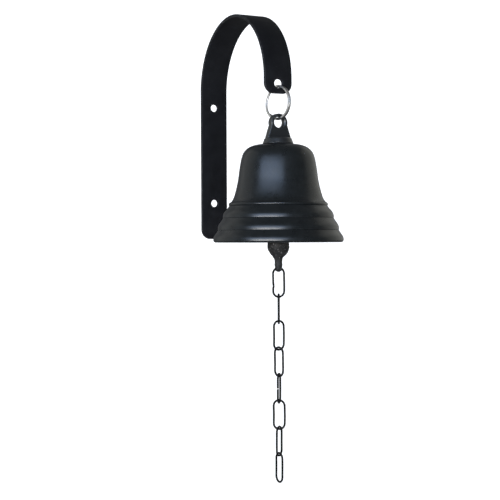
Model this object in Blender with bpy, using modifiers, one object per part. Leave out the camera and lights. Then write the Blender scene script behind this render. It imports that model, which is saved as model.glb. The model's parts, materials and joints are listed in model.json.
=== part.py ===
"""Wall mounted bell: a flat strap hook, a split ring, a cast bell on its lug, a clapper and a pull chain.

Metres, +Z up. The origin is on the wall face of the strap, midway between its two screw holes.
The hook reaches out along -Y and the strap is wide along X. Hanging pieces are measured by their
depth below the centre of the hook's front hole.
"""

from math import asin
from math import cos
from math import hypot
from math import pi
from math import radians
from math import sin
from math import sqrt

import bmesh
import bpy
from mathutils import Matrix
from mathutils import Vector

GAP = 0.0003

# Strap hook
STRAP_WIDTH = 0.025
STRAP_THICK = 0.0025
STRAP_EDGE = 0.0004
END_CORNER = 0.0085
HOOK_RADIUS = 0.0595
BACK_LENGTH = 0.1300
FRONT_LENGTH = 0.0126
SCREW_HOLE_R = 0.00325
SCREW_SPACING = 0.085
LOWER_HOLE_UP = 0.0318
FRONT_HOLE_R = 0.0035
FRONT_HOLE_DROP = 0.0044
FRONT_HOLE_RIM = 0.0011
BEND_STEPS = 36

# Split ring
RING_OUTER_R = 0.0141
RING_RADIAL = 0.0019
RING_TURN = 0.0011
RING_PITCH = 0.00125
RING_YAW = radians(15)
RING_JOG = radians(40)

# Lug, a separate casting with a threaded stem through the crown
LUG_TOP = 0.0244
LUG_TOP_R = 0.0075
LUG_THICK = 0.006
LUG_HOLE_R = 0.0044
LUG_HOLE_RIM = 0.0018
LUG_HOLE_ABOVE_WIRE = 0.00155
LUG_WAIST_HALF = 0.0102
LUG_WAIST = 0.0425
FOOT_TOP = 0.0440
FOOT_BASE = 0.0488
FOOT_TOP_R = 0.0112
FOOT_BASE_R = 0.0125
STEM_R = 0.003
STEM_END = 0.0632

# Bell casting
CROWN = 0.0491
CROWN_UNDER = 0.0522
CROWN_HOLE_R = 0.0034
MOUTH = 0.1275
BELL_STEPS = 48

# Crown fasteners and the eye nut that carries the clapper
WASHER = (0.0525, 0.0535, 0.0080)
LOCK_WASHER = (0.0538, 0.0550, 0.0056)
CROWN_NUT = (0.0553, 0.0590, 0.0050)
BOSS_TOP = 0.0593
BOSS_BASE = 0.0653
BOSS_R = 0.006
BORE_R = 0.0033
BORE_DEPTH = 0.0045
EYE_CENTRE = 0.0688
EYE_R = 0.0045
EYE_WIRE_R = 0.00175

# Clapper
CLAPPER_EYE_R = 0.0045
CLAPPER_EYE_WIRE_R = 0.0015
ROD_R = 0.0024
TAIL_END = 0.1524
TAIL_R = 0.0033
TAIL_HOLE_R = 0.0012

# Pull chain
CHAIN_WIRE_R = 0.00085
LINK_LENGTH = 0.02515
LINK_WIDTH = 0.0108
LINK_BUTT_GAP = 0.0004
OPEN_LINK = 5
OPEN_LINK_GAP = 0.0010
LINK_TURNS = (-17, 59, 0, 106, 48, -42, 35, 93)

# Positions that follow from the sizes above
STRAP_BOTTOM = -(LOWER_HOLE_UP + SCREW_SPACING / 2)
SPRING_Z = STRAP_BOTTOM + BACK_LENGTH
BEND_R = HOOK_RADIUS - STRAP_THICK / 2
BEND_LENGTH = pi * BEND_R
HANG_Y = -(2 * HOOK_RADIUS - STRAP_THICK / 2)
HANG_Z = SPRING_Z - FRONT_HOLE_DROP
RING_INNER_R = RING_OUTER_R - RING_RADIAL
RING_MID_R = RING_OUTER_R - RING_RADIAL / 2
RING_PIVOT = FRONT_HOLE_R + STRAP_THICK / 2
RING_CENTRE = FRONT_HOLE_R - GAP + RING_INNER_R
BELL_PIVOT = RING_CENTRE + RING_MID_R
LUG_HOLE = BELL_PIVOT - LUG_HOLE_ABOVE_WIRE + LUG_HOLE_R
CLAPPER_PIVOT = EYE_CENTRE + EYE_R
CLAPPER_EYE_TOP = CLAPPER_PIVOT - (EYE_WIRE_R + CLAPPER_EYE_WIRE_R + GAP)
CLAPPER_EYE = CLAPPER_EYE_TOP + CLAPPER_EYE_R
TAIL_HOLE = TAIL_END - TAIL_R
LINK_END_R = LINK_WIDTH / 2 - CHAIN_WIRE_R
LINK_RUN = LINK_LENGTH - 2 * CHAIN_WIRE_R
LINK_HANG = 2 * CHAIN_WIRE_R + GAP


# Scene and object helpers


def clear_scene():
    for obj in list(bpy.data.objects):
        bpy.data.objects.remove(obj, do_unlink=True)


def new_collection(name):
    collection = bpy.data.collections.new(name)
    bpy.context.scene.collection.children.link(collection)
    return collection


def material(name, color, roughness, metallic):
    made = bpy.data.materials.new(name)
    made.use_nodes = True
    shader = made.node_tree.nodes["Principled BSDF"]
    shader.inputs["Base Color"].default_value = (*color, 1)
    shader.inputs["Roughness"].default_value = roughness
    shader.inputs["Metallic"].default_value = metallic
    made.diffuse_color = (*color, 1)
    return made


def add_object(name, data, collection):
    obj = bpy.data.objects.new(name, data)
    collection.objects.link(obj)
    return obj


def as_helper(obj):
    obj.hide_render = True
    obj.display_type = "WIRE"
    return obj


def mesh_object(name, bm, collection, smooth_angle=None):
    mesh = bpy.data.meshes.new(name)
    bmesh.ops.recalc_face_normals(bm, faces=bm.faces)
    bm.to_mesh(mesh)
    bm.free()
    if smooth_angle is not None:
        mesh.shade_smooth()
        mesh.set_sharp_from_angle(angle=smooth_angle)
    return add_object(name, mesh, collection)


def curve_object(name, collection, flat):
    curve = bpy.data.curves.new(name, "CURVE")
    curve.dimensions = "2D" if flat else "3D"
    return add_object(name, curve, collection)


def add_spline(curve, points, cyclic=True):
    spline = curve.splines.new("POLY")
    spline.points.add(len(points) - 1)
    for spot, point in zip(spline.points, points):
        spot.co = (*point, 1) if len(point) == 3 else (*point, 0, 1)
    spline.use_cyclic_u = cyclic


def curve_to_mesh(obj, collection):
    """The curve's evaluated mesh as a new object, its caps welded on."""
    bpy.context.view_layer.update()
    graph = bpy.context.evaluated_depsgraph_get()
    mesh = bpy.data.meshes.new_from_object(obj.evaluated_get(graph))
    name = obj.name
    place = obj.matrix_world.copy()
    bpy.data.objects.remove(obj, do_unlink=True)
    bm = bmesh.new()
    bm.from_mesh(mesh)
    bmesh.ops.remove_doubles(bm, verts=bm.verts, dist=1e-6)
    bmesh.ops.recalc_face_normals(bm, faces=bm.faces)
    bm.to_mesh(mesh)
    bm.free()
    made = add_object(name, mesh, collection)
    made.matrix_world = place
    return made


def turned(name, outline, collection, steps):
    """A solid of revolution about local Z, from (radius, height) points down its outer side."""
    bm = bmesh.new()
    verts = [bm.verts.new((radius, 0, height)) for radius, height in outline]
    for first, second in zip(verts, verts[1:]):
        bm.edges.new((first, second))
    if min(outline[0][0], outline[-1][0]) > 0:
        bm.edges.new((verts[-1], verts[0]))
    mesh = bpy.data.meshes.new(name)
    bm.to_mesh(mesh)
    bm.free()
    obj = add_object(name, mesh, collection)
    screw = obj.modifiers.new("turn", "SCREW")
    screw.axis = "Z"
    screw.steps = steps
    screw.render_steps = steps
    screw.use_merge_vertices = True
    screw.merge_threshold = 1e-6
    screw.use_smooth_shade = True
    return obj


def boolean(obj, other, operation):
    modifier = obj.modifiers.new(other.name, "BOOLEAN")
    modifier.operation = operation
    modifier.object = other
    as_helper(other)
    return obj


def joint_point(name, depth, parent, collection):
    """An empty on a joint's axis, at a depth below the front hole."""
    empty = add_object(name, None, collection)
    empty.empty_display_size = 0.01
    empty.parent = parent
    above = parent["depth"] if parent else 0
    empty.location = (0, 0, above - depth) if parent else (0, HANG_Y, HANG_Z - depth)
    empty["depth"] = depth
    return empty


def hang(obj, point, depth):
    """Parents the object to a joint's empty, its own origin at that depth."""
    obj.parent = point
    obj.location = (0, 0, point["depth"] - depth)
    return obj


# Outline helpers


def arc(centre, radius, start, end, steps):
    return [
        (
            centre[0] + radius * cos(start + (end - start) * i / steps),
            centre[1] + radius * sin(start + (end - start) * i / steps),
        )
        for i in range(steps + 1)
    ]


def circle(centre, radius, steps):
    return arc(centre, radius, 0, 2 * pi, steps)[:-1]


def rounded_rectangle(left, right, bottom, top, corner, steps):
    points = arc((right - corner, bottom + corner), corner, -pi / 2, 0, steps)
    points += arc((right - corner, top - corner), corner, 0, pi / 2, steps)
    points += arc((left + corner, top - corner), corner, pi / 2, pi, steps)
    points += arc((left + corner, bottom + corner), corner, pi, 3 * pi / 2, steps)
    return points


def smooth_through(points, per_span):
    """A Catmull-Rom curve through the points."""
    ends = [points[0], *points, points[-1]]
    curve = []
    for before, here, there, after in zip(ends, ends[1:], ends[2:], ends[3:]):
        for i in range(per_span):
            t = i / per_span
            curve.append(
                tuple(
                    0.5
                    * (
                        2 * b
                        + (c - a) * t
                        + (2 * a - 5 * b + 4 * c - d) * t**2
                        + (3 * b - a - 3 * c + d) * t**3
                    )
                    for a, b, c, d in zip(before, here, there, after)
                )
            )
    return [*curve, points[-1]]


def bulge(start, end, height, steps):
    """A convex arc from start to end that stands out by a height at its middle."""
    run = Vector(end) - Vector(start)
    out = Vector((-run.y, run.x)).normalized()
    if out.x < 0:
        out = -out
    return [
        tuple(Vector(start) + run * t + out * 4 * height * t * (1 - t))
        for t in (i / steps for i in range(steps + 1))
    ]


def flared_hole(name, hole_r, rim, half_thick, collection, steps):
    """A cutter for a round hole whose two rims are rounded, its axis along local Z."""
    reach = half_thick + 0.002
    straight = half_thick - rim
    outline = [(0, reach), (hole_r + rim, reach)]
    for i in range(7):
        angle = pi / 2 * i / 6
        outline.append((hole_r + rim * (1 - sin(angle)), straight + rim * cos(angle)))
    outline += [(radius, -height) for radius, height in reversed(outline)]
    return turned(name, outline, collection, steps)


# Strap hook


def strap_blank(collection):
    """The flat punched blank: width along X, length along Y from the bottom end, on the plane Z = 0."""
    length = BACK_LENGTH + BEND_LENGTH + FRONT_LENGTH
    half = STRAP_WIDTH / 2
    blank = curve_object("wall_bracket", collection, flat=True)
    curve = blank.data
    curve.fill_mode = "BOTH"
    curve.extrude = STRAP_THICK / 2
    add_spline(curve, rounded_rectangle(-half, half, 0, length, END_CORNER, 7))
    add_spline(curve, circle((0, LOWER_HOLE_UP), SCREW_HOLE_R, 24))
    add_spline(curve, circle((0, LOWER_HOLE_UP + SCREW_SPACING), SCREW_HOLE_R, 24))
    add_spline(curve, circle((0, front_hole_run()), FRONT_HOLE_R, 24))
    return curve_to_mesh(blank, collection)


def front_hole_run():
    return BACK_LENGTH + BEND_LENGTH + FRONT_HOLE_DROP


def bend_point(point):
    """Where a point of the flat blank lies once the strap is bent into its hook."""
    run = point.y - BACK_LENGTH
    out = point.z
    if run < 0:
        return Vector((point.x, out - STRAP_THICK / 2, SPRING_Z + run))
    if run > BEND_LENGTH:
        return Vector((point.x, HANG_Y - out, SPRING_Z - (run - BEND_LENGTH)))
    angle = run / BEND_R
    reach = BEND_R + out
    return Vector((point.x, reach * cos(angle) - HOOK_RADIUS, SPRING_Z + reach * sin(angle)))


def is_rim(edge, centre, radius):
    return all(abs(hypot(v.co.x - centre[0], v.co.y - centre[1]) - radius) < 1e-5 for v in edge.verts)


def sharp_edges(bm):
    return [e for e in bm.edges if len(e.link_faces) == 2 and e.calc_face_angle() > radians(60)]


def round_over(bm, edges, width, segments):
    bmesh.ops.bevel(
        bm,
        geom=edges,
        offset=width,
        offset_type="OFFSET",
        segments=segments,
        profile=0.5,
        affect="EDGES",
    )


def make_bracket(collection, paint):
    obj = strap_blank(collection)
    bm = bmesh.new()
    bm.from_mesh(obj.data)
    bmesh.ops.dissolve_limit(bm, angle_limit=radians(1), verts=bm.verts, edges=bm.edges)
    front = (0, front_hole_run())
    rim = [e for e in sharp_edges(bm) if is_rim(e, front, FRONT_HOLE_R)]
    round_over(bm, rim, FRONT_HOLE_RIM, 3)
    round_over(bm, sharp_edges(bm), STRAP_EDGE, 2)
    for i in range(BEND_STEPS + 1):
        bmesh.ops.bisect_plane(
            bm,
            geom=bm.verts[:] + bm.edges[:] + bm.faces[:],
            dist=1e-7,
            plane_co=(0, BACK_LENGTH + BEND_LENGTH * i / BEND_STEPS, 0),
            plane_no=(0, 1, 0),
        )
    for vert in bm.verts:
        vert.co = bend_point(vert.co)
    bm.normal_update()
    bmesh.ops.recalc_face_normals(bm, faces=bm.faces)
    bm.to_mesh(obj.data)
    bm.free()
    obj.data.shade_smooth()
    obj.data.set_sharp_from_angle(angle=radians(35))
    obj.data.materials.append(paint)
    return obj


# Split ring


def ring_side_step(angle):
    """How far the wire is moved along the ring's axis: it changes layer once, on the ring's back."""
    t = (angle - (2 * pi - RING_JOG)) / (2 * RING_JOG)
    t = min(max(t, 0), 1)
    return RING_PITCH * (t * t * (3 - 2 * t) - 0.5)


def make_split_ring(collection, guides, plating):
    section = curve_object("ring_wire_section", guides, flat=True)
    radial = RING_RADIAL / 2
    axial = RING_TURN / 2
    add_spline(section.data, rounded_rectangle(-radial, radial, -axial, axial, 0.00038, 2))
    as_helper(section)
    ring = curve_object("split_ring", collection, flat=False)
    curve = ring.data
    curve.bevel_mode = "OBJECT"
    curve.bevel_object = section
    curve.use_fill_caps = True
    curve.twist_mode = "Z_UP"
    margin = radians(3)
    start = RING_JOG + margin
    end = 4 * pi - RING_JOG - margin
    steps = 72
    points = []
    for i in range(steps + 1):
        angle = start + (end - start) * i / steps
        points.append((RING_MID_R * cos(angle), RING_MID_R * sin(angle), ring_side_step(angle)))
    add_spline(curve, points, cyclic=False)
    ring = curve_to_mesh(ring, collection)
    ring.data.shade_smooth()
    ring.data.set_sharp_from_angle(angle=radians(50))
    back = Vector((-sin(RING_YAW), cos(RING_YAW), 0))
    axis = Vector((cos(RING_YAW), sin(RING_YAW), 0))
    upright = Matrix((back, Vector((0, 0, 1)), axis)).transposed()
    lift = Matrix.Translation((0, 0, RING_PIVOT - RING_CENTRE))
    ring.data.transform(lift @ upright.to_4x4())
    ring.data.materials.append(plating)
    return ring


# Bell body


def lug_outline():
    """Half outline of the lug plate, right side from the top down, as (x, height) about the lug hole."""
    top_centre = LUG_HOLE - LUG_TOP - LUG_TOP_R
    slope = asin((LUG_WAIST_HALF - LUG_TOP_R) / (LUG_WAIST - LUG_HOLE))
    right = arc((0, top_centre), LUG_TOP_R, pi / 2, -slope, 14)
    right += [(LUG_WAIST_HALF, LUG_HOLE - LUG_WAIST), (FOOT_TOP_R - 0.0004, LUG_HOLE - FOOT_TOP - 0.001)]
    return right + [(-x, z) for x, z in reversed(right[1:])]


def make_lug(collection, cutters, paint):
    plate = curve_object("lug_plate", cutters, flat=True)
    plate.data.fill_mode = "BOTH"
    plate.data.extrude = LUG_THICK / 2
    add_spline(plate.data, lug_outline())
    plate = curve_to_mesh(plate, cutters)
    bm = bmesh.new()
    bm.from_mesh(plate.data)
    bmesh.ops.dissolve_limit(bm, angle_limit=radians(1), verts=bm.verts, edges=bm.edges)
    round_over(bm, sharp_edges(bm), 0.0008, 2)
    bm.to_mesh(plate.data)
    bm.free()
    plate.data.transform(Matrix.Rotation(pi / 2, 4, "X"))
    foot = [
        (0, LUG_HOLE - FOOT_TOP + 0.0006),
        (FOOT_TOP_R - 0.0012, LUG_HOLE - FOOT_TOP + 0.0003),
        (FOOT_TOP_R, LUG_HOLE - FOOT_TOP - 0.0008),
        (FOOT_BASE_R - 0.0004, LUG_HOLE - FOOT_BASE + 0.0012),
        (FOOT_BASE_R, LUG_HOLE - FOOT_BASE + 0.0005),
        (FOOT_BASE_R - 0.0005, LUG_HOLE - FOOT_BASE),
        (STEM_R, LUG_HOLE - FOOT_BASE),
        (STEM_R, LUG_HOLE - STEM_END + 0.0006),
        (STEM_R - 0.0006, LUG_HOLE - STEM_END),
        (0, LUG_HOLE - STEM_END),
    ]
    lug = turned("hanger_lug", foot, collection, 32)
    lug.data.materials.append(paint)
    hole = flared_hole("lug_hole", LUG_HOLE_R, LUG_HOLE_RIM, LUG_THICK / 2, cutters, 32)
    hole.rotation_euler = (pi / 2, 0, 0)
    boolean(lug, plate, "UNION")
    boolean(lug, hole, "DIFFERENCE")
    plate.parent = lug
    hole.parent = lug
    return lug


def bell_outline():
    """(radius, depth) round the casting's wall: down the outside, round the lip and up the inside."""
    shoulder = [
        (0.0131, CROWN),
        (0.0189, 0.0499),
        (0.0234, 0.0516),
        (0.0268, 0.0543),
        (0.0289, 0.0578),
        (0.0303, 0.0632),
        (0.0315, 0.0706),
        (0.0327, 0.0790),
        (0.0344, 0.0866),
        (0.0366, 0.0936),
        (0.0398, 0.0988),
    ]
    grooves = [(0.0398, 0.0988), (0.0447, 0.1079), (0.0489, 0.1186), (0.0528, 0.1265)]
    outside = [(CROWN_HOLE_R, CROWN), *smooth_through(shoulder, 2)]
    for (start, end), height in zip(zip(grooves, grooves[1:]), (0.0011, 0.0010, 0.0008)):
        outside += bulge(start, end, height, 5)[1:]
    lip = [(0.0524, 0.1273), (0.0513, MOUTH), (0.0499, 0.1271)]
    inside = [
        (0.0489, 0.1258),
        (0.0456, 0.1167),
        (0.0418, 0.1081),
        (0.0375, 0.1010),
        (0.0337, 0.0935),
        (0.0313, 0.0850),
        (0.0295, 0.0750),
        (0.0280, 0.0660),
        (0.0258, 0.0590),
        (0.0211, 0.0545),
        (0.0130, CROWN_UNDER),
    ]
    return [*outside, *lip, *inside, (CROWN_HOLE_R, CROWN_UNDER)]


def make_bell_shell(collection, paint):
    outline = [(radius, CROWN - depth) for radius, depth in bell_outline()]
    shell = turned("bell_shell", outline, collection, BELL_STEPS)
    shell.data.materials.append(paint)
    return shell


# Crown fasteners and eye nut, inside the bell


def ring_of(name, top, base, inner_r, outer_r, collection, steps=32):
    """A flat turned ring from its top depth to its base depth, its origin at its top."""
    height = base - top
    outline = [(inner_r, 0), (outer_r, 0), (outer_r, -height), (inner_r, -height)]
    return turned(name, outline, collection, steps)


def make_washer(collection, steel):
    top, base, outer_r = WASHER
    washer = ring_of("crown_washer", top, base, BORE_R, outer_r, collection)
    washer.data.materials.append(steel)
    return washer


def make_lock_washer(collection, cutters, steel):
    top, base, outer_r = LOCK_WASHER
    washer = ring_of("crown_lock_washer", top, base, BORE_R, outer_r, collection)
    washer.data.materials.append(steel)
    bm = bmesh.new()
    bmesh.ops.create_cube(bm, size=1)
    bmesh.ops.scale(bm, verts=bm.verts, vec=(0.008, 0.0008, 0.006))
    slit = mesh_object("lock_washer_slit", bm, cutters)
    slit.parent = washer
    slit.location = (0.006, 0, -(base - top) / 2)
    slit.rotation_euler = (radians(25), 0, 0)
    return boolean(washer, slit, "DIFFERENCE")


def make_crown_nut(collection, cutters, steel):
    top, base, half_flats = CROWN_NUT
    height = base - top
    bm = bmesh.new()
    bmesh.ops.create_cone(
        bm,
        cap_ends=True,
        segments=6,
        radius1=half_flats / cos(pi / 6),
        radius2=half_flats / cos(pi / 6),
        depth=height,
    )
    bmesh.ops.translate(bm, verts=bm.verts, vec=(0, 0, -height / 2))
    nut = mesh_object("crown_nut", bm, collection)
    nut.data.materials.append(steel)
    outline = [(0, 0.001), (BORE_R + 0.0012, 0.0007), (BORE_R, -0.0005)]
    outline += [(BORE_R, -height + 0.0005), (BORE_R + 0.0012, -height - 0.0007), (0, -height - 0.001)]
    bore = turned("nut_bore", outline, cutters, 24)
    bore.parent = nut
    return boolean(nut, bore, "DIFFERENCE")


def torus(name, centre_r, wire_r, collection, around=28, across=12):
    """A closed wire ring that stands in its local YZ plane, its centre at its origin."""
    turns = [-2 * pi * i / across for i in range(across)]
    wire = [(centre_r + wire_r * cos(a), wire_r * sin(a)) for a in turns]
    ring = turned(name, wire, collection, around)
    ring.rotation_euler = (0, pi / 2, 0)
    return ring


def make_eye_nut(collection, cutters, steel):
    height = BOSS_BASE - BOSS_TOP
    chamfer = 0.0008
    outline = [
        (0, 0),
        (BOSS_R - chamfer, 0),
        (BOSS_R, -chamfer),
        (BOSS_R, -height + 2 * chamfer),
        (BOSS_R - 2 * chamfer, -height),
        (0, -height),
    ]
    nut = turned("clapper_eye_nut", outline, collection, 32)
    nut.data.materials.append(steel)
    eye = torus("eye_nut_eye", EYE_R, EYE_WIRE_R, cutters)
    eye.parent = nut
    eye.location = (0, 0, BOSS_TOP - EYE_CENTRE)
    bore_outline = [(0, 0.001), (BORE_R, 0.001), (BORE_R, -BORE_DEPTH), (0, -BORE_DEPTH)]
    bore = turned("eye_nut_bore", bore_outline, cutters, 24)
    bore.parent = nut
    boolean(nut, eye, "UNION")
    return boolean(nut, bore, "DIFFERENCE")


def oval(end_r, length, steps, gap):
    """Centreline of an oval link, its top bar at height 0, open by a butt gap on one side."""
    middle = -length / 2
    top = arc((0, -end_r), end_r, 0, pi, steps)
    bottom = arc((0, end_r - length), end_r, pi, 2 * pi, steps)
    return [(end_r, middle + gap / 2), *top, *bottom, (end_r, middle - gap / 2)]


def make_link(number, drop, collection, finish):
    """An oval wire link in its local XZ plane, with its top bar at a height above its origin."""
    link = curve_object(f"chain_link_{number}", collection, flat=False)
    curve = link.data
    curve.bevel_depth = CHAIN_WIRE_R
    curve.bevel_resolution = 2
    curve.use_fill_caps = True
    gap = OPEN_LINK_GAP if number == OPEN_LINK else LINK_BUTT_GAP
    add_spline(curve, [(x, 0, z + drop) for x, z in oval(LINK_END_R, LINK_RUN, 8, gap)], cyclic=False)
    curve.materials.append(finish)
    return link


# Clapper


def clapper_outline():
    """(radius, depth) down the rod, the ball, the neck and the tail."""
    ball = [
        (ROD_R, 0.1193),
        (0.0036, 0.1213),
        (0.0066, 0.1242),
        (0.0084, 0.1278),
        (0.0089, 0.1315),
        (0.0082, 0.1349),
        (0.0063, 0.1380),
        (0.0042, 0.1404),
        (0.0033, 0.1423),
        (0.0031, 0.1445),
        (TAIL_R, 0.1475),
    ]
    rod = [(0, CLAPPER_EYE + CLAPPER_EYE_R), (ROD_R, CLAPPER_EYE + CLAPPER_EYE_R)]
    tail = [(TAIL_R * cos(a), TAIL_HOLE + TAIL_R * sin(a)) for a in (pi / 2 * i / 6 for i in range(6))]
    return [*rod, *smooth_through(ball, 2), *tail, (0, TAIL_END)]


def tail_hole_cutter(cutters):
    """The cast hole in the tail: it opens out so that the first chain link can swing on it."""
    outline = []
    for i in range(13):
        along = 0.0040 * (1 - i / 6)
        flare = LINK_END_R - sqrt(LINK_END_R**2 - along**2)
        outline.append((TAIL_HOLE_R + flare, along))
    outline = [(0, outline[0][1]), *outline, (0, outline[-1][1])]
    return turned("tail_hole", outline, cutters, 24)


def make_clapper(collection, cutters, iron):
    outline = [(radius, CLAPPER_PIVOT - depth) for radius, depth in clapper_outline()]
    clapper = turned("clapper", outline, collection, 24)
    clapper.data.materials.append(iron)
    eye = torus("clapper_eye", CLAPPER_EYE_R, CLAPPER_EYE_WIRE_R, cutters, around=24, across=10)
    eye.rotation_euler = (0, pi / 2, pi / 2)
    eye.parent = clapper
    eye.location = (0, 0, CLAPPER_PIVOT - CLAPPER_EYE)
    hole = tail_hole_cutter(cutters)
    hole.parent = clapper
    hole.location = (0, 0, CLAPPER_PIVOT - TAIL_HOLE)
    hole.rotation_euler = (0, pi / 2, radians(LINK_TURNS[0]))
    boolean(clapper, eye, "UNION")
    return boolean(clapper, hole, "DIFFERENCE")


# Assembly


def hang_bell(bell_point, parts, cutters, paint, steel):
    hang(make_lug(parts, cutters, paint["lug"]), bell_point, LUG_HOLE)
    hang(make_bell_shell(parts, paint["bell"]), bell_point, CROWN)
    hang(make_washer(parts, steel), bell_point, WASHER[0])
    hang(make_lock_washer(parts, cutters, steel), bell_point, LOCK_WASHER[0])
    hang(make_crown_nut(parts, cutters, steel), bell_point, CROWN_NUT[0])
    hang(make_eye_nut(parts, cutters, steel), bell_point, BOSS_TOP)


def hang_chain(clapper_point, parts, black_wire):
    point = joint_point("chain_link_1_joint", TAIL_HOLE, clapper_point, parts)
    pivot = TAIL_HOLE
    drop = 0
    for number, turn in enumerate(LINK_TURNS, start=1):
        link = make_link(number, drop, parts, black_wire)
        hang(link, point, pivot)
        link.rotation_euler = (0, 0, radians(turn))
        pivot += LINK_RUN - drop
        drop = LINK_HANG
        if number < len(LINK_TURNS):
            point = joint_point(f"chain_link_{number + 1}_joint", pivot, point, parts)


def main():
    clear_scene()
    parts = new_collection("wall_mounted_bell")
    cutters = new_collection("cutters")
    strap_paint = material("strap_paint", (0.012, 0.012, 0.013), 0.45, 0.0)
    paint = {
        "bell": material("bell_paint", (0.016, 0.017, 0.018), 0.38, 0.0),
        "lug": material("lug_paint", (0.013, 0.014, 0.015), 0.42, 0.0),
    }
    plating = material("nickel_plating", (0.72, 0.71, 0.69), 0.18, 1.0)
    steel = material("zinc_steel", (0.55, 0.55, 0.54), 0.35, 1.0)
    iron = material("rough_iron", (0.02, 0.02, 0.02), 0.75, 0.2)
    black_wire = material("black_wire", (0.01, 0.01, 0.01), 0.5, 0.3)

    make_bracket(parts, strap_paint)
    ring_point = joint_point("split_ring_joint", RING_PIVOT, None, parts)
    hang(make_split_ring(parts, cutters, plating), ring_point, RING_PIVOT)
    bell_point = joint_point("bell_joint", BELL_PIVOT, ring_point, parts)
    hang_bell(bell_point, parts, cutters, paint, steel)
    clapper_point = joint_point("clapper_joint", CLAPPER_PIVOT, bell_point, parts)
    hang(make_clapper(parts, cutters, iron), clapper_point, CLAPPER_PIVOT)
    hang_chain(clapper_point, parts, black_wire)


main()
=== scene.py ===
"""Looks of the wall mounted bell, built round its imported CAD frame.

Metres, in the frame's own axes: +Y into the wall, +Z up, +X across the strap. Hanging pieces are
measured by their depth below the centre of the hook's front hole, and every place comes from the
frame's boxes and joints.
"""

import json
from math import asin
from math import atan2
from math import cos
from math import hypot
from math import pi
from math import radians
from math import sin
from math import sqrt

import bmesh
import bpy
from mathutils import Matrix
from mathutils import Vector
from mathutils import noise


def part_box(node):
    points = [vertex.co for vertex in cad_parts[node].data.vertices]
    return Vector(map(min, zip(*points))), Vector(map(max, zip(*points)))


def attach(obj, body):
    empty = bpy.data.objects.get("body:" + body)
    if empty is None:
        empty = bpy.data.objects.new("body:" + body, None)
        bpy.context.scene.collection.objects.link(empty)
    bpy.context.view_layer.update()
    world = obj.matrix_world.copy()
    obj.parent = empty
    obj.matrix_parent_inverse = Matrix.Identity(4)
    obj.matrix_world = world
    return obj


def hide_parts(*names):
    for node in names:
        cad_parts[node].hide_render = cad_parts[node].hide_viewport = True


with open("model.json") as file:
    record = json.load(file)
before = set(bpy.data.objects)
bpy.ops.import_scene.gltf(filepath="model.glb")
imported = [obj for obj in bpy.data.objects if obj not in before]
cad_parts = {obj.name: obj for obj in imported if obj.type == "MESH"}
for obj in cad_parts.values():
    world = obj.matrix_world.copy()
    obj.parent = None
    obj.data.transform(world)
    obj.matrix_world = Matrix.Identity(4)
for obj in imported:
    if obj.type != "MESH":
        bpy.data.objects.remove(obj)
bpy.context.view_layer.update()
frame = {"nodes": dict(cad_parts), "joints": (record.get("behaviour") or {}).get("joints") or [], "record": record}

# Camera and studio
CAMERA_PLACE = Vector((-0.4784, -0.9636, -0.0731))
CAMERA_YAW = 0.4910
CAMERA_PITCH = -0.0104
CAMERA_ROLL = -0.0044
CAMERA_LENS = 86.4
FLOOR_Z = -0.52
BACKDROP_Y = 1.1

# Strap hook
STRAP_THICK = 0.0025
STRAP_EDGE = 0.0005
END_CORNER = 0.0085
SCREW_HOLE_R = 0.00325
FRONT_HOLE_R = 0.0035
FRONT_HOLE_RIM = 0.0011
STRAP_WEAR = 0.0006
END_CORNER_STEPS = 18
HOLE_STEPS = 56
BEND_STEPS = 120
CUTS_BEFORE_BEND = 40
CUTS_AFTER_BEND = 5

# Split ring
RING_OUTER_R = 0.0141
RING_RADIAL = 0.0019
RING_TURN = 0.0011
RING_PITCH = 0.00125
RING_CORNER = 0.00038
RING_JOG = radians(40)
RING_END_MARGIN = radians(3)
RING_STEPS = 300
GAP = 0.0003

# Lug
LUG_TOP = 0.0244
LUG_TOP_R = 0.0075
LUG_THICK = 0.006
LUG_EDGE = 0.0007
LUG_HOLE_R = 0.0044
LUG_HOLE_RIM = 0.0018
LUG_HOLE_ABOVE_WIRE = 0.00155
LUG_WAIST_HALF = 0.0102
LUG_WAIST = 0.0425
FOOT_TOP = 0.0440
FOOT_BASE = 0.0488
FOOT_TOP_R = 0.0112
FOOT_BASE_R = 0.0125
STEM_R = 0.003

# Bell
CROWN_HOLE_R = 0.0034
CROWN_THICK = 0.0031
LIP_BELOW_MOUTH = 0.0009
BELL_STEPS = 192

# Eye nut and clapper
BOSS_R = 0.006
BOSS_CHAMFER = 0.0008
EYE_R = 0.0045
EYE_WIRE_R = 0.00175
BORE_R = 0.0033
BORE_DEPTH = 0.0045
EYE_BELOW_BOSS_TOP = 0.0095
BOSS_HEIGHT = 0.006
CLAPPER_EYE_R = 0.0045
CLAPPER_EYE_WIRE_R = 0.0015
ROD_R = 0.0024
TAIL_R = 0.0033
TAIL_HOLE_R = 0.0012
TAIL_HOLE_REACH = 0.0040
TAIL_HOLE_STEPS = 24

# Chain
CHAIN_WIRE_R = 0.00085
LINK_LENGTH = 0.02515
LINK_WIDTH = 0.0108
LINK_TURNS = (-17, 59, 0, 106, 48, -42, 35, 93)
LINK_END_R = LINK_WIDTH / 2 - CHAIN_WIRE_R
LINK_RUN = LINK_LENGTH - 2 * CHAIN_WIRE_R
LINK_HANG = 2 * CHAIN_WIRE_R + GAP
WIRE_SIDES = 20
BUTT_GAP = 0.00004
OPEN_BUTT_GAP = 0.0006
LOW_BUTT = 0.62
LINK_END_STEPS = 14
LINK_SIDE_STEPS = 10
BUTT_STEPS = 7
LINK_WEAR_REACH = 0.0020

# Backdrop
SWEEP_HALF_WIDTH = 4.0
SWEEP_FRONT_Y = -4.0
SWEEP_TOP_Z = 3.0
SWEEP_R = 0.5
PAPER_GLOW = 0.52
LIGHT_AIM_DEPTH = 0.075

# Casting skins and tolerances
CASTING_VOXEL = 0.00022
CLAPPER_VOXEL = 0.00025
ON_AXIS = 1e-7

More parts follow.
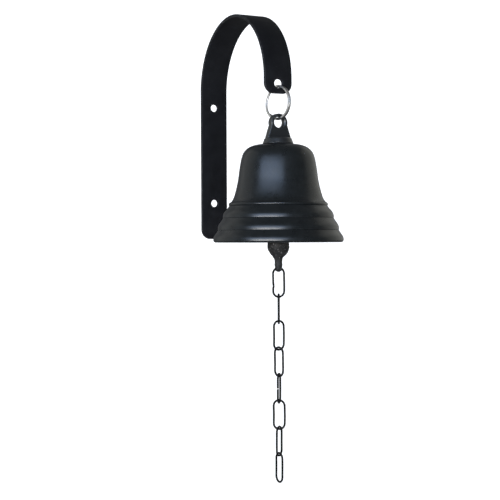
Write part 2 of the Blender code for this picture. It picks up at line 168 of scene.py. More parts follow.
# Places that follow from the frame
joints = {joint["name"]: joint for joint in frame["joints"]}
RING_PIVOT = FRONT_HOLE_R + STRAP_THICK / 2
RING_MID_R = RING_OUTER_R - RING_RADIAL / 2
RING_CENTRE = FRONT_HOLE_R - GAP + RING_OUTER_R - RING_RADIAL
ring_joint = Vector(joints["ring_swing"]["pos_m"])
hang = Vector((ring_joint.x, ring_joint.y, ring_joint.z + RING_PIVOT))


def depth_of(height):
    return hang.z - height


def at_depth(depth):
    return Vector((hang.x, hang.y, hang.z - depth))


# Mesh helpers


def new_object(name, mesh):
    obj = bpy.data.objects.new(name, mesh)
    bpy.context.scene.collection.objects.link(obj)
    return obj


def object_from(name, bm):
    mesh = bpy.data.meshes.new(name)
    bmesh.ops.recalc_face_normals(bm, faces=bm.faces)
    bm.to_mesh(mesh)
    bm.free()
    return new_object(name, mesh)


def smooth(obj, angle):
    obj.data.shade_smooth()
    obj.data.set_sharp_from_angle(angle=angle)
    return obj


def applied(obj):
    """The object with its modifiers or its curve made into a plain mesh, and no helper left."""
    bpy.context.view_layer.update()
    graph = bpy.context.evaluated_depsgraph_get()
    mesh = bpy.data.meshes.new_from_object(obj.evaluated_get(graph))
    mesh.transform(obj.matrix_world)
    name = obj.name
    bpy.data.objects.remove(obj, do_unlink=True)
    mesh.name = name
    return new_object(name, mesh)


def spun(name, outline, steps):
    """A solid of revolution about Z from (radius, height) points.

    An outline whose ends are off the axis closes on itself.
    """
    bm = bmesh.new()
    rings = []
    for radius, height in outline:
        if radius < ON_AXIS:
            rings.append([bm.verts.new((0, 0, height))] * steps)
            continue
        turns = (2 * pi * i / steps for i in range(steps))
        rings.append([bm.verts.new((radius * cos(a), radius * sin(a), height)) for a in turns])
    pairs = list(zip(rings, rings[1:]))
    if min(outline[0][0], outline[-1][0]) > ON_AXIS:
        pairs.append((rings[-1], rings[0]))
    for first, second in pairs:
        for i in range(steps):
            j = (i + 1) % steps
            corners = []
            for vert in (first[i], first[j], second[j], second[i]):
                if vert not in corners:
                    corners.append(vert)
            if len(corners) > 2:
                bm.faces.new(corners)
    return object_from(name, bm)


def swept(name, path, axes, section):
    """A bar with flat ends: section points (a, b) are laid along each point's own two axes."""
    bm = bmesh.new()
    rings = [
        [bm.verts.new(centre + u * a + v * b) for a, b in section]
        for centre, (u, v) in zip(path, axes)
    ]
    count = len(section)
    for first, second in zip(rings, rings[1:]):
        for i in range(count):
            j = (i + 1) % count
            bm.faces.new((first[i], first[j], second[j], second[i]))
    bm.faces.new(rings[0])
    bm.faces.new(reversed(rings[-1]))
    return object_from(name, bm)


def boolean(obj, other, operation):
    modifier = obj.modifiers.new(other.name, "BOOLEAN")
    modifier.operation = operation
    modifier.solver = "EXACT"
    modifier.object = other
    return obj


def cast(obj, helpers, voxel, rounds):
    """Joins a casting's shapes into one skin with softened corners, and clears its helpers away."""
    remesh = obj.modifiers.new("skin", "REMESH")
    remesh.mode = "VOXEL"
    remesh.voxel_size = voxel
    soften = obj.modifiers.new("soften", "SMOOTH")
    soften.factor = 0.5
    soften.iterations = rounds
    made = applied(obj)
    for helper in helpers:
        bpy.data.objects.remove(helper, do_unlink=True)
    made.data.shade_smooth()
    return made


def roughen(obj, fields, keep=None):
    """Moves each point along its normal by noise.

    Fields are (size, height) pairs, and keep scales the move by place.
    """
    bm = bmesh.new()
    bm.from_mesh(obj.data)
    bm.normal_update()
    moves = []
    for vert in bm.verts:
        move = sum(height * noise.noise(vert.co / size) for size, height in fields)
        moves.append(move * (keep(vert.co) if keep else 1))
    for vert, move in zip(bm.verts, moves):
        vert.co += vert.normal * move
    bm.to_mesh(obj.data)
    bm.free()
    return obj


def mark_edges(obj, reach):
    """Stores how strongly each point bends outwards, from 0 to 1, for the materials' wear and for the painted
    shade on plated edges.

    Reach is the edge radius that gives 1.
    """
    bm = bmesh.new()
    bm.from_mesh(obj.data)
    bm.normal_update()
    values = []
    for vert in bm.verts:
        bends = []
        for edge in vert.link_edges:
            step = vert.co - edge.other_vert(vert).co
            if step.length > 1e-8:
                bends.append(2 * step.dot(vert.normal) / step.length_squared)
        bend = sum(bends) / max(len(bends), 1)
        values.append(min(max(bend * reach, 0), 1))
    bm.free()
    attribute = obj.data.attributes.new("edge", "FLOAT", "POINT")
    attribute.data.foreach_set("value", values)
    return obj


def place(obj, where):
    obj.data.transform(Matrix.Translation(where))
    return obj


def dress(obj, body, slot, finish, *nodes):
    """Gives a piece its finish, its body and the CAD nodes that it stands for."""
    obj.data.materials.clear()
    obj.data.materials.append(finish)
    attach(obj, body)
    if nodes:
        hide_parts(*nodes)
    return obj


# Outline helpers


def arc(centre, radius, start, end, steps):
    turns = [start + (end - start) * i / steps for i in range(steps + 1)]
    return [(centre[0] + radius * cos(a), centre[1] + radius * sin(a)) for a in turns]


def rounded_rectangle(left, right, bottom, top, corner, steps):
    points = arc((right - corner, bottom + corner), corner, -pi / 2, 0, steps)
    points += arc((right - corner, top - corner), corner, 0, pi / 2, steps)
    points += arc((left + corner, top - corner), corner, pi / 2, pi, steps)
    points += arc((left + corner, bottom + corner), corner, pi, 3 * pi / 2, steps)
    return points


def smooth_through(points, per_span):
    """A Catmull-Rom curve through the points."""
    ends = [points[0], *points, points[-1]]
    curve = []
    for span in zip(ends, ends[1:], ends[2:], ends[3:]):
        for i in range(per_span):
            t = i / per_span
            curve.append(tuple(spline_value(t, *values) for values in zip(*span)))
    return [*curve, points[-1]]


def spline_value(t, a, b, c, d):
    square = 2 * a - 5 * b + 4 * c - d
    cube = 3 * b - a - 3 * c + d
    return 0.5 * (2 * b + (c - a) * t + square * t**2 + cube * t**3)


def bulge(start, end, height, steps):
    """A convex sweep from start to end, fullest about two thirds of the way along."""
    run = Vector(end) - Vector(start)
    out = Vector((-run.y, run.x)).normalized()
    out = -out if out.x < 0 else out
    points = []
    for i in range(steps + 1):
        t = i / steps
        points.append(tuple(Vector(start) + run * t + out * height * sin(pi * t**1.6)))
    return points


def flat_plate(name, outlines, thick):
    """A plate in the XY plane, from outer and hole outlines."""
    curve = bpy.data.curves.new(name, "CURVE")
    curve.dimensions = "2D"
    curve.fill_mode = "BOTH"
    curve.extrude = thick / 2
    for outline in outlines:
        spline = curve.splines.new("POLY")
        spline.points.add(len(outline) - 1)
        for spot, (x, y) in zip(spline.points, outline):
            spot.co = (x, y, 0, 1)
        spline.use_cyclic_u = True
    plate = applied(new_object(name, curve))
    bm = bmesh.new()
    bm.from_mesh(plate.data)
    bmesh.ops.remove_doubles(bm, verts=bm.verts, dist=1e-6)
    bmesh.ops.dissolve_limit(bm, angle_limit=radians(0.5), verts=bm.verts, edges=bm.edges)
    bmesh.ops.recalc_face_normals(bm, faces=bm.faces)
    return plate, bm


def sharp_edges(bm):
    return [e for e in bm.edges if len(e.link_faces) == 2 and e.calc_face_angle() > radians(60)]


def round_over(bm, edges, width, segments):
    bmesh.ops.bevel(
        bm,
        geom=edges,
        offset=width,
        offset_type="OFFSET",
        segments=segments,
        profile=0.5,
        affect="EDGES",
    )


# Materials


class Surface:
    """A Principled material whose nodes all read the piece's own coordinates."""

    def __init__(self, name):
        self.material = bpy.data.materials.new(name)
        self.material.use_nodes = True
        self.tree = self.material.node_tree
        self.shader = self.tree.nodes["Principled BSDF"]
        self.place = self.tree.nodes.new("ShaderNodeTexCoord").outputs["Object"]
        self.bumps = None

    def node(self, kind, **inputs):
        made = self.tree.nodes.new(kind)
        for name, value in inputs.items():
            self.feed(made.inputs[name.replace("_", " ")], value)
        return made

    def feed(self, socket, value):
        if isinstance(value, bpy.types.NodeSocket):
            self.tree.links.new(value, socket)
        else:
            socket.default_value = value

    def stretched(self, x, y, z):
        return self.node("ShaderNodeMapping", Vector=self.place, Scale=(x, y, z)).outputs[0]

    def grain(self, size, detail, source=None):
        made = self.node("ShaderNodeTexNoise", Scale=1 / size, Detail=detail, Roughness=0.55)
        self.feed(made.inputs["Vector"], source or self.place)
        return made.outputs["Fac"]

    def pits(self, size):
        made = self.node("ShaderNodeTexVoronoi", Scale=1 / size)
        self.feed(made.inputs["Vector"], self.place)
        return made.outputs["Distance"]

    def ramp(self, value, low, high, start=0.0, end=1.0):
        made = self.node("ShaderNodeMapRange", Value=value)
        limits = {"From Min": low, "From Max": high, "To Min": start, "To Max": end}
        for name, number in limits.items():
            made.inputs[name].default_value = number
        return made.outputs[0]

    def times(self, first, second):
        made = self.node("ShaderNodeMath")
        made.operation = "MULTIPLY"
        self.feed(made.inputs[0], first)
        self.feed(made.inputs[1], second)
        return made.outputs[0]

    def blend(self, factor, first, second):
        made = self.node("ShaderNodeMix")
        made.data_type = "RGBA"
        self.feed(made.inputs[0], factor)
        for socket, colour in ((made.inputs[6], first), (made.inputs[7], second)):
            self.feed(socket, (*colour, 1) if isinstance(colour, tuple) else colour)
        return made.outputs[2]

    def mix(self, factor, first, second):
        made = self.node("ShaderNodeMix")
        self.feed(made.inputs[0], factor)
        self.feed(made.inputs[2], first)
        self.feed(made.inputs[3], second)
        return made.outputs[0]

    def bump(self, height, distance, strength):
        made = self.node("ShaderNodeBump", Height=height, Distance=distance, Strength=strength)
        if self.bumps is not None:
            self.feed(made.inputs["Normal"], self.bumps)
        self.bumps = made.outputs[0]

    def edge(self):
        made = self.tree.nodes.new("ShaderNodeAttribute")
        made.attribute_name = "edge"
        return made.outputs["Fac"]

    def done(self, colour, roughness, metallic=0.0, shine=0.5):
        self.shader.inputs["Specular IOR Level"].default_value = shine
        self.feed(self.shader.inputs["Base Color"], colour)
        self.feed(self.shader.inputs["Roughness"], roughness)
        self.feed(self.shader.inputs["Metallic"], metallic)
        if self.bumps is not None:
            self.feed(self.shader.inputs["Normal"], self.bumps)
        return self.material


def painted(name, dark, light, rough, peel, shine, wear=0.6):
    """Satin black paint: cloudy, with orange peel, fine grain and paler, thinner edges."""
    s = Surface(name)
    worn = (0.05, 0.05, 0.05)
    cloud = s.ramp(s.grain(0.012, 4), 0.35, 0.65)
    speck = s.ramp(s.grain(0.0005, 2), 0.62, 0.72)
    body = s.blend(cloud, dark, light)
    body = s.blend(s.times(speck, 0.25), body, worn)
    rubbed = s.times(s.ramp(s.edge(), 0.15, 0.75), s.ramp(s.grain(0.004, 4), 0.38, 0.62))
    body = s.blend(s.times(rubbed, wear), body, worn)
    gloss = s.ramp(s.grain(0.006, 5), 0.3, 0.7, rough - 0.04, rough + 0.05)
    gloss = s.mix(s.times(rubbed, 0.5), gloss, rough - 0.08)
    s.bump(s.grain(0.0011, 2), peel, 0.6)
    s.bump(s.grain(0.00028, 2), peel * 0.35, 0.5)
    return s.done(body, gloss, 0.0, shine)


def plated(name, colour, shade, rough, scratch, edge_shade):
    """Bright plating with faint clouding, drawn lines and painted shade that darkens its rounded edges."""
    s = Surface(name)
    cloud = s.ramp(s.grain(0.003, 4), 0.3, 0.7)
    body = s.blend(cloud, shade, colour)
    # Painted shade: the plating's rounded edges are darkened towards a dark brown grey.
    body = s.blend(s.times(s.ramp(s.edge(), 0.1, 0.8), edge_shade), body, (0.05, 0.045, 0.04))
    lines = s.grain(0.0007, 3, s.stretched(1, 1, 9))
    gloss = s.ramp(lines, 0.3, 0.7, rough - 0.05, rough + 0.1)
    s.bump(lines, scratch, 0.5)
    s.bump(s.grain(0.0004, 2), scratch * 0.6, 0.4)
    return s.done(body, gloss, 1.0)


def rough_iron():
    """A black sand casting: pitted, with scattered pale grey chips."""
    s = Surface("rough_iron")
    cloud = s.ramp(s.grain(0.0035, 5), 0.35, 0.65)
    body = s.blend(cloud, (0.006, 0.006, 0.006), (0.016, 0.016, 0.016))
    chips = s.ramp(s.grain(0.0011, 4), 0.60, 0.70)
    body = s.blend(s.times(chips, 0.55), body, (0.20, 0.195, 0.19))
    gloss = s.ramp(s.grain(0.0015, 4), 0.3, 0.7, 0.42, 0.72)
    s.bump(s.pits(0.0016), 0.00022, 0.7)
    s.bump(s.grain(0.0006, 4), 0.00016, 0.8)
    return s.done(body, gloss, 0.0, 0.16)


def black_wire():
    """Black coated wire: nearly even, with small bare rubs."""
    s = Surface("black_wire")
    cloud = s.ramp(s.grain(0.002, 4), 0.35, 0.65)
    body = s.blend(cloud, (0.003, 0.003, 0.003), (0.008, 0.008, 0.008))
    rubs = s.times(s.ramp(s.grain(0.0012, 4), 0.6, 0.7), s.ramp(s.edge(), 0.3, 0.9))
    body = s.blend(s.times(rubs, 0.5), body, (0.16, 0.155, 0.15))
    gloss = s.ramp(s.grain(0.0016, 3), 0.3, 0.7, 0.36, 0.56)
    s.bump(s.grain(0.0006, 3), 0.00006, 0.6)
    return s.done(body, gloss, s.times(rubs, 0.6), 0.08)


def pale(name, glow):
    """Matt white studio paper, lit from within so that it stays even."""
    s = Surface(name)
    tone = s.blend(s.ramp(s.grain(0.5, 2), 0.3, 0.7), (0.88, 0.88, 0.88), (0.90, 0.90, 0.90))
    s.shader.inputs["Emission Color"].default_value = (1, 1, 1, 1)
    s.shader.inputs["Emission Strength"].default_value = glow
    return s.done(tone, 0.9, 0.0, 0.0)


# Strap hook


def strap_sizes():
    """The strap before bending, from the CAD box and joints.

    Half width, hook radius, straight back length, front hole's place along the blank, blank length.
    """
    low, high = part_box("wall_bracket")
    radius = -low.y / 2
    spring = high.z - radius
    back = spring - low.z
    bend = pi * (radius - STRAP_THICK / 2)
    front_hole = back + bend + spring - hang.z
    front_end = front_end_length(spring)
    return (high.x - low.x) / 2, radius, back, front_hole, back + bend + front_end


def front_end_length(spring):
    """How far the front leg runs down past the bend, from the points of its flat outer face."""
    points = [v.co for v in frame["nodes"]["wall_bracket"].data.vertices]
    outermost = min(p.y for p in points)
    return spring - min(p.z for p in points if p.y < outermost + STRAP_THICK)


def make_strap(finish):
    half, radius, back, front_hole, length = strap_sizes()
    low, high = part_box("wall_bracket")
    spring = high.z - radius
    bend_r = radius - STRAP_THICK / 2
    bend_length = pi * bend_r
    lower, upper = (
        Vector(m["pos_m"]).z - low.z for m in sorted(screw_mounts(), key=lambda m: m["pos_m"][2])
    )
    holes = [
        arc((0, lower), SCREW_HOLE_R, 0, 2 * pi, HOLE_STEPS)[:-1],
        arc((0, upper), SCREW_HOLE_R, 0, 2 * pi, HOLE_STEPS)[:-1],
        arc((0, front_hole), FRONT_HOLE_R, 0, 2 * pi, HOLE_STEPS)[:-1],
    ]
    edge = rounded_rectangle(-half, half, 0, length, END_CORNER, END_CORNER_STEPS)
    strap, bm = flat_plate("strap_hook", [edge, *holes], STRAP_THICK)
    rim = [
        e
        for e in sharp_edges(bm)
        if all(abs(hypot(v.co.x, v.co.y - front_hole) - FRONT_HOLE_R) < 1e-5 for v in e.verts)
    ]
    round_over(bm, rim, width=FRONT_HOLE_RIM, segments=4)
    round_over(bm, sharp_edges(bm), width=STRAP_EDGE, segments=3)
    for i in range(-CUTS_BEFORE_BEND, BEND_STEPS + CUTS_AFTER_BEND):
        bmesh.ops.bisect_plane(
            bm,
            geom=bm.verts[:] + bm.edges[:] + bm.faces[:],
            dist=1e-7,
            plane_co=(0, back + bend_length * i / BEND_STEPS, 0),
            plane_no=(0, 1, 0),
        )
    for vert in bm.verts:
        run = vert.co.y - back
        out = vert.co.z
        if run < 0:
            vert.co = (vert.co.x, out - STRAP_THICK / 2, spring + run)
        elif run > bend_length:
            vert.co = (vert.co.x, hang.y - out, spring - (run - bend_length))
        else:
            reach = bend_r + out
            angle = run / bend_r
            vert.co = (vert.co.x, reach * cos(angle) - radius, spring + reach * sin(angle))
    bm.normal_update()
    bmesh.ops.recalc_face_normals(bm, faces=bm.faces)
    bm.to_mesh(strap.data)
    bm.free()
    smooth(strap, radians(30))
    mark_edges(strap, reach=STRAP_WEAR)
    dress(strap, "bracket", "strap_paint", finish, "wall_bracket")


def screw_mounts():
    return [m for m in frame["record"]["mounts"] if "screw" in m["name"]]


# Split ring


def make_ring(finish):
    radial = RING_RADIAL / 2
    axial = RING_TURN / 2
    section = rounded_rectangle(-radial, radial, -axial, axial, RING_CORNER, steps=5)
    start = RING_JOG + RING_END_MARGIN
    end = 4 * pi - RING_JOG - RING_END_MARGIN
    path = []
    axes = []
    for i in range(RING_STEPS + 1):
        angle = start + (end - start) * i / RING_STEPS
        t = min(max((angle - (2 * pi - RING_JOG)) / (2 * RING_JOG), 0), 1)
        side = RING_PITCH * (t * t * (3 - 2 * t) - 0.5)
        out = Vector((cos(angle), sin(angle), 0))
        path.append(out * RING_MID_R + Vector((0, 0, side)))
        axes.append((out, Vector((0, 0, 1))))
    ring = swept("split_ring_wire", path, axes, section)
    smooth(ring, radians(50))
    yaw_axis = Vector(joints["bell_swing"]["axis"])
    yaw = atan2(yaw_axis.x, -yaw_axis.y)
    back = Vector((-sin(yaw), cos(yaw), 0))
    upright = Matrix((back, Vector((0, 0, 1)), Vector((cos(yaw), sin(yaw), 0)))).transposed()
    ring.data.transform(upright.to_4x4())
    place(ring, at_depth(RING_CENTRE))
    mark_edges(ring, reach=0.0004)
    dress(ring, "ring", "nickel_plating", finish, "split_ring")


# Lug and bell


def make_lug(finish):
    bell_joint = depth_of(joints["bell_swing"]["pos_m"][2])
    hole_depth = bell_joint - LUG_HOLE_ABOVE_WIRE + LUG_HOLE_R
    stem_end = depth_of(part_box("hanger_lug")[0].z)
    top_centre = hole_depth - LUG_TOP - LUG_TOP_R
    slope = asin((LUG_WAIST_HALF - LUG_TOP_R) / (LUG_WAIST - hole_depth))
    right = arc((0, top_centre), LUG_TOP_R, pi / 2, -slope, steps=32)
    right += [(LUG_WAIST_HALF, hole_depth - LUG_WAIST)]
    right += [(FOOT_TOP_R - 0.0004, hole_depth - FOOT_TOP - 0.001)]
    outline = right + [(-x, z) for x, z in reversed(right[1:])]
    plate, bm = flat_plate("lug_plate", [outline], LUG_THICK)
    round_over(bm, sharp_edges(bm), width=LUG_EDGE, segments=3)
    bm.to_mesh(plate.data)
    bm.free()
    plate.data.transform(Matrix.Rotation(pi / 2, 4, "X"))
    foot = [
        (0, hole_depth - FOOT_TOP + 0.0006),
        (FOOT_TOP_R - 0.0012, hole_depth - FOOT_TOP + 0.0003),
        (FOOT_TOP_R, hole_depth - FOOT_TOP - 0.0008),
        (FOOT_BASE_R - 0.0004, hole_depth - FOOT_BASE + 0.0012),
        (FOOT_BASE_R, hole_depth - FOOT_BASE + 0.0005),
        (FOOT_BASE_R - 0.0005, hole_depth - FOOT_BASE),
        (STEM_R, hole_depth - FOOT_BASE),
        (STEM_R, hole_depth - stem_end + 0.0006),
        (STEM_R - 0.0006, hole_depth - stem_end),
        (0, hole_depth - stem_end),
    ]
    lug = spun("lug_casting", foot, steps=96)
    reach = LUG_THICK / 2 + 0.002
    straight = LUG_THICK / 2 - LUG_HOLE_RIM
    bore = [(0, reach), (LUG_HOLE_R + LUG_HOLE_RIM, reach)]
    for i in range(13):
        angle = pi / 2 * i / 12
        across = LUG_HOLE_R + LUG_HOLE_RIM * (1 - sin(angle))
        bore.append((across, straight + LUG_HOLE_RIM * cos(angle)))
    bore += [(radius, -height) for radius, height in reversed(bore)]
    hole = spun("lug_hole", bore, steps=72)
    hole.data.transform(Matrix.Rotation(pi / 2, 4, "X"))
    boolean(lug, plate, "UNION")
    boolean(lug, hole, "DIFFERENCE")
    lug = cast(lug, [plate, hole], CASTING_VOXEL, rounds=3)
    place(lug, at_depth(hole_depth))
    roughen(lug, [(0.004, 0.00004), (0.0012, 0.000015)])
    mark_edges(lug, reach=0.0009)
    dress(lug, "bell", "lug_paint", finish, "hanger_lug")


def bell_outline(crown, mouth):
    """(radius, depth) round the casting's wall, from its crown depth and its mouth depth."""
    shoulder = [
        (0.0131, crown),
        (0.0189, 0.0499),
        (0.0234, 0.0516),
        (0.0268, 0.0543),
        (0.0289, 0.0578),
        (0.0303, 0.0632),
        (0.0315, 0.0706),
        (0.0327, 0.0790),
        (0.0344, 0.0866),
        (0.0363, 0.0926),
        (0.0380, 0.0955),
    ]
    bead = [
        (0.0385, 0.0959),
        (0.0395, 0.0965),
        (0.0401, 0.0972),
        (0.0402, 0.0979),
        (0.0400, 0.0985),
        (0.0396, 0.0988),
    ]
    ridges = [
        ((0.0399, 0.0991), (0.0449, 0.1084), 0.0011),
        ((0.0448, 0.1088), (0.0490, 0.1182), 0.0010),
        ((0.0489, 0.1186), (0.0527, 0.1270), 0.0009),
    ]
    outside = [(CROWN_HOLE_R, crown)]
    outside += smooth_through(shoulder, per_span=8)
    outside += smooth_through(bead, per_span=5)
    for start, end, height in ridges:
        outside += bulge(start, end, height, steps=18)
        outside += [(end[0] - 0.0003, end[1] + 0.0002)]
    lip = [
        (0.0526, 0.1273),
        (0.0521, 0.1279),
        (0.0511, mouth + LIP_BELOW_MOUTH),
        (0.0500, mouth + 0.0007),
    ]
    inside = [
        (0.0493, 0.1268),
        (0.0456, 0.1167),
        (0.0418, 0.1081),
        (0.0375, 0.1010),
        (0.0337, 0.0935),
        (0.0313, 0.0850),
        (0.0295, 0.0750),
        (0.0280, 0.0660),
        (0.0258, 0.0590),
        (0.0211, 0.0545),
        (0.0130, crown + CROWN_THICK),
    ]
    inside = smooth_through(inside, per_span=4)
    return [*outside, *smooth_through(lip, per_span=5), *inside, (CROWN_HOLE_R, crown + CROWN_THICK)]


def make_bell(finish):
    low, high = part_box("bell_shell")
    crown, mouth = depth_of(high.z), depth_of(low.z)
    outline = [(radius, -depth) for radius, depth in bell_outline(crown, mouth)]
    bell = spun("bell_casting", outline, BELL_STEPS)
    smooth(bell, radians(40))
    place(bell, hang)
    mark_edges(bell, reach=0.0006)
    dress(bell, "bell", "bell_paint", finish, "bell_shell")


def torus(name, centre_r, wire_r, around, across):
    """A closed wire ring that stands in the YZ plane."""
    wire = arc((centre_r, 0), wire_r, 0, -2 * pi, across)[:-1]
    ring = spun(name, wire, around)
    ring.data.transform(Matrix.Rotation(pi / 2, 4, "Y"))
    return ring


def make_eye_nut(finish):
    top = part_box("clapper_eye_nut")[1]
    outline = [
        (0, 0),
        (BOSS_R - BOSS_CHAMFER, 0),
        (BOSS_R, -BOSS_CHAMFER),
        (BOSS_R, -BOSS_HEIGHT + 2 * BOSS_CHAMFER),
        (BOSS_R - 2 * BOSS_CHAMFER, -BOSS_HEIGHT),
        (0, -BOSS_HEIGHT),
    ]
    nut = spun("eye_nut_forging", outline, steps=72)
    eye = torus("eye_nut_eye", EYE_R, EYE_WIRE_R, around=80, across=32)
    place(eye, Vector((0, 0, -EYE_BELOW_BOSS_TOP)))
    bore_outline = [(0, 0.001), (BORE_R, 0.001), (BORE_R, -BORE_DEPTH), (0, -BORE_DEPTH)]
    bore = spun("eye_nut_bore", bore_outline, steps=48)
    boolean(nut, eye, "UNION")
    boolean(nut, bore, "DIFFERENCE")
    nut = cast(nut, [eye, bore], CASTING_VOXEL, rounds=2)
    place(nut, Vector((hang.x, hang.y, top.z)))
    mark_edges(nut, reach=0.0006)
    dress(nut, "bell", "zinc_steel", finish, "clapper_eye_nut")


def dress_fasteners(finish):
    for name in ("crown_washer", "crown_lock_washer", "crown_nut"):
        slot = frame["nodes"][name].material_slots[0]
        slot.link = "OBJECT"
        slot.material = finish


# Clapper


def make_clapper(finish):
    pivot = depth_of(joints["clapper_swing"]["pos_m"][2])
    tail_hole = depth_of(joints["chain_link_1_swing"]["pos_m"][2])
    eye_depth = pivot - (EYE_WIRE_R + CLAPPER_EYE_WIRE_R + GAP) + CLAPPER_EYE_R
    ball = [
        (ROD_R, 0.1193),
        (0.0036, 0.1213),
        (0.0066, 0.1242),
        (0.0084, 0.1278),
        (0.0089, 0.1315),
        (0.0082, 0.1349),
        (0.0063, 0.1380),
        (0.0042, 0.1404),
        (0.0033, 0.1423),
        (0.0031, 0.1445),
        (TAIL_R, 0.1475),
    ]
    rod_top = eye_depth + CLAPPER_EYE_R
    tail_turns = (pi / 2 * i / 10 for i in range(10))
    tail = [(TAIL_R * cos(a), tail_hole + TAIL_R * sin(a)) for a in tail_turns]
    outline = [(0, rod_top), (ROD_R, rod_top)]
    outline += smooth_through(ball, per_span=6)
    outline += [*tail, (0, tail_hole + TAIL_R)]
    clapper = spun("clapper_casting", [(radius, -depth) for radius, depth in outline], steps=64)
    eye = torus("clapper_eye", CLAPPER_EYE_R, CLAPPER_EYE_WIRE_R, around=72, across=28)
    eye.data.transform(Matrix.Rotation(pi / 2, 4, "Z"))
    place(eye, Vector((0, 0, -eye_depth)))
    flare = []
    for i in range(TAIL_HOLE_STEPS + 1):
        along = TAIL_HOLE_REACH * (1 - i / (TAIL_HOLE_STEPS / 2))
        opening = LINK_END_R - sqrt(LINK_END_R**2 - along**2)
        flare.append((TAIL_HOLE_R + opening, along))
    hole = spun("tail_hole", [(0, flare[0][1]), *flare, (0, flare[-1][1])], steps=48)
    hole.data.transform(Matrix.Rotation(pi / 2, 4, "Y"))
    hole.data.transform(Matrix.Rotation(radians(LINK_TURNS[0]), 4, "Z"))
    place(hole, Vector((0, 0, -tail_hole)))
    boolean(clapper, eye, "UNION")
    boolean(clapper, hole, "DIFFERENCE")
    clapper = cast(clapper, [eye, hole], CLAPPER_VOXEL, rounds=2)
    fields = [(0.0048, 0.00045), (0.0021, 0.00022), (0.0009, 0.00008)]

    def keep(co):
        """Full roughness on the ball, little on the rod and the drilled tail."""
        depth = -co.z
        ball_share = min(max((depth - 0.1190) / 0.006, 0), 1)
        tail_share = min(max((0.1455 - depth) / 0.004, 0.12), 1)
        return ball_share * tail_share + 0.05

    roughen(clapper, fields, keep)
    place(clapper, hang)
    mark_edges(clapper, reach=0.0010)
    dress(clapper, "clapper", "rough_iron", finish, "clapper")


# Chain


def link_path(number):
    """Centreline of a link in its own XZ plane, its top bar at height 0.

    It's open by a butt gap on one side: wider on link 5, and lower down on link 1.
    """
    gap = OPEN_BUTT_GAP if number == 5 else BUTT_GAP
    side = -1 if number in (1, 5) else 1
    down = LOW_BUTT if number == 1 else 0.5
    middle = -LINK_RUN * down
    top = arc((0, -LINK_END_R), LINK_END_R, 0, pi, LINK_END_STEPS)
    bottom = arc((0, LINK_END_R - LINK_RUN), LINK_END_R, pi, 2 * pi, LINK_END_STEPS)
    straight = LINK_RUN - 2 * LINK_END_R
    far_steps = range(1, LINK_SIDE_STEPS)
    far = [(-LINK_END_R, -LINK_END_R - straight * i / LINK_SIDE_STEPS) for i in far_steps]
    after = (LINK_END_R, middle + gap / 2)
    before = (LINK_END_R, middle - gap / 2)
    near_top = between(after, top[0], BUTT_STEPS)[:-1]
    near_bottom = between(bottom[-1], before, BUTT_STEPS)[1:]
    points = [*near_top, *top, *far, *bottom, *near_bottom]
    return [(bowed(x, z, number) * side, z) for x, z in points]


def between(first, last, count):
    return [tuple(a + (b - a) * i / count for a, b in zip(first, last)) for i in range(count + 1)]


def bowed(x, z, number):
    """Hand closed links are never quite even: their sides bow a little, less so near the bars."""
    along = min(max(-z / LINK_RUN, 0), 1)
    middle = sin(pi * along) ** 2
    bow = 0.00016 * sin(2.1 * number + 3.0 * along)
    kink = 0.00042 * max(0, 1 - abs(along - LOW_BUTT) / 0.08) if number == 1 and x > 0 else 0
    return x + middle * bow - kink


def make_link(number, finish):
    joint_depth = depth_of(joints[f"chain_link_{number}_swing"]["pos_m"][2])
    drop = 0 if number == 1 else LINK_HANG
    flat = [Vector((x, 0, z)) for x, z in link_path(number)]
    axes = []
    for i in range(len(flat)):
        run = flat[min(i + 1, len(flat) - 1)] - flat[max(i - 1, 0)]
        run.normalize()
        axes.append((Vector((run.z, 0, -run.x)), Vector((0, 1, 0))))
    section = arc((0, 0), CHAIN_WIRE_R, 0, 2 * pi, WIRE_SIDES)[:-1]
    link = swept(f"chain_wire_{number}", flat, axes, section)
    round_link_ends(link)
    smooth(link, radians(45))
    wear_link(link)
    link.data.transform(Matrix.Rotation(radians(LINK_TURNS[number - 1]), 4, "Z"))
    place(link, at_depth(joint_depth - drop))
    dress(link, f"chain_link_{number}", "black_wire", finish, f"chain_link_{number}")


def round_link_ends(link):
    bm = bmesh.new()
    bm.from_mesh(link.data)
    rims = [e for e in bm.edges if e.calc_face_angle(0) > radians(70)]
    round_over(bm, rims, width=0.00008, segments=2)
    bm.to_mesh(link.data)
    bm.free()


def wear_link(link):
    """Stores where a link rubs on its neighbours: the insides of its two bars."""
    values = []
    for vert in link.data.vertices:
        from_top = abs(vert.co.z + CHAIN_WIRE_R)
        from_base = abs(vert.co.z + LINK_RUN - CHAIN_WIRE_R)
        values.append(max(0, 1 - min(from_top, from_base) / LINK_WEAR_REACH))
    attribute = link.data.attributes.new("edge", "FLOAT", "POINT")
    attribute.data.foreach_set("value", values)


# Studio


def make_studio():
    bm = bmesh.new()
    curve = arc((BACKDROP_Y - SWEEP_R, FLOOR_Z + SWEEP_R), SWEEP_R, -pi / 2, 0, steps=24)
    line = [(SWEEP_FRONT_Y, FLOOR_Z), *curve, (BACKDROP_Y, SWEEP_TOP_Z)]
    sides = (-SWEEP_HALF_WIDTH, SWEEP_HALF_WIDTH)
    rows = [[bm.verts.new((x, y, z)) for y, z in line] for x in sides]
    for i in range(len(line) - 1):
        bm.faces.new((rows[0][i], rows[1][i], rows[1][i + 1], rows[0][i + 1]))
    sweep = object_from("studio_floor", bm)
    sweep.data.shade_smooth()
    sweep.data.materials.append(pale("studio_paper", PAPER_GLOW))
    sweep.visible_glossy = False
    world = bpy.data.worlds.new("studio")
    world.use_nodes = True
    background = world.node_tree.nodes["Background"]
    background.inputs["Color"].default_value = (0.94, 0.96, 1.0, 1)
    background.inputs["Strength"].default_value = 0.20
    bpy.context.scene.world = world
    bpy.context.scene.view_settings.view_transform = "Standard"


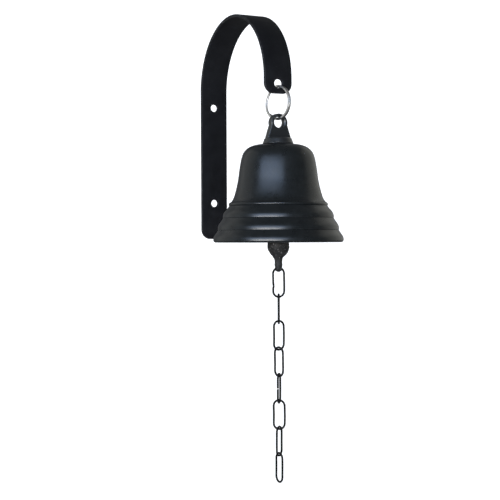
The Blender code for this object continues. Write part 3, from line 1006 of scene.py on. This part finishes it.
def softbox(name, azimuth, elevation, distance, width, height, power, colour):
    """A rectangular light that looks at the bell; azimuth is measured to the camera's left."""
    target = Vector((hang.x, hang.y, hang.z - LIGHT_AIM_DEPTH))
    towards = CAMERA_PLACE - target
    towards.z = 0
    towards = Matrix.Rotation(-azimuth, 3, "Z") @ towards.normalized()
    direction = towards * cos(elevation) + Vector((0, 0, sin(elevation)))
    light = bpy.data.lights.new(name, "AREA")
    light.shape = "RECTANGLE"
    light.size = width
    light.size_y = height
    light.energy = power
    light.color = colour
    lamp = new_object(name, light)
    lamp.location = target + direction * distance
    lamp.rotation_euler = (-direction).to_track_quat("-Z", "Y").to_euler()
    lamp.visible_camera = False


def add_lights():
    softbox("key_softbox", radians(20), radians(13), 1.0, 1.3, 0.5, 12.5, (0.50, 0.68, 1.0))
    softbox("low_strip", radians(20), radians(-2), 1.0, 0.9, 0.10, 11.0, (1.0, 0.98, 0.95))
    softbox("left_panel", radians(106), radians(12), 1.0, 1.0, 1.2, 1.7, (1.0, 1.0, 0.95))
    softbox("right_panel", radians(-125), radians(12), 1.0, 1.2, 1.2, 2.6, (1.0, 1.0, 0.91))


def make_camera():
    forward = Vector(
        (
            sin(CAMERA_YAW) * cos(CAMERA_PITCH),
            cos(CAMERA_YAW) * cos(CAMERA_PITCH),
            sin(CAMERA_PITCH),
        )
    )
    level = Vector((cos(CAMERA_YAW), -sin(CAMERA_YAW), 0))
    upright = level.cross(forward)
    right = cos(CAMERA_ROLL) * level + sin(CAMERA_ROLL) * upright
    up = -sin(CAMERA_ROLL) * level + cos(CAMERA_ROLL) * upright
    data = bpy.data.cameras.new("camera")
    data.lens = CAMERA_LENS
    data.sensor_width = 36
    camera = new_object("camera", data)
    turn = Matrix((right, up, -forward)).transposed()
    camera.matrix_world = Matrix.Translation(CAMERA_PLACE) @ turn.to_4x4()
    bpy.context.scene.camera = camera


def main():
    strap_paint = painted(
        "strap_paint",
        dark=(0.0030, 0.0031, 0.0038),
        light=(0.0048, 0.0050, 0.0058),
        rough=0.50,
        peel=0.00003,
        shine=0.12,
    )
    bell_paint = painted(
        "bell_paint",
        dark=(0.0032, 0.0042, 0.0046),
        light=(0.0048, 0.0060, 0.0064),
        rough=0.30,
        peel=0.000007,
        shine=0.33,
        wear=0.2,
    )
    lug_paint = painted(
        "lug_paint",
        dark=(0.0050, 0.0060, 0.0066),
        light=(0.0075, 0.0086, 0.0092),
        rough=0.34,
        peel=0.00006,
        shine=0.50,
    )
    nickel = plated(
        "nickel_plating",
        colour=(0.80, 0.785, 0.76),
        shade=(0.60, 0.59, 0.57),
        rough=0.26,
        scratch=0.00001,
        # Full painted shade on the ring's rounded edges.
        edge_shade=1.0,
    )
    steel = plated(
        "zinc_steel",
        colour=(0.60, 0.60, 0.59),
        shade=(0.45, 0.45, 0.44),
        rough=0.34,
        scratch=0.00003,
        # Light painted shade on the eye nut's rounded edges.
        edge_shade=0.3,
    )
    make_strap(strap_paint)
    make_ring(nickel)
    make_lug(lug_paint)
    make_bell(bell_paint)
    make_eye_nut(steel)
    dress_fasteners(steel)
    make_clapper(rough_iron())
    wire = black_wire()
    for number in range(1, len(LINK_TURNS) + 1):
        make_link(number, wire)
    make_studio()
    add_lights()
    make_camera()


main()
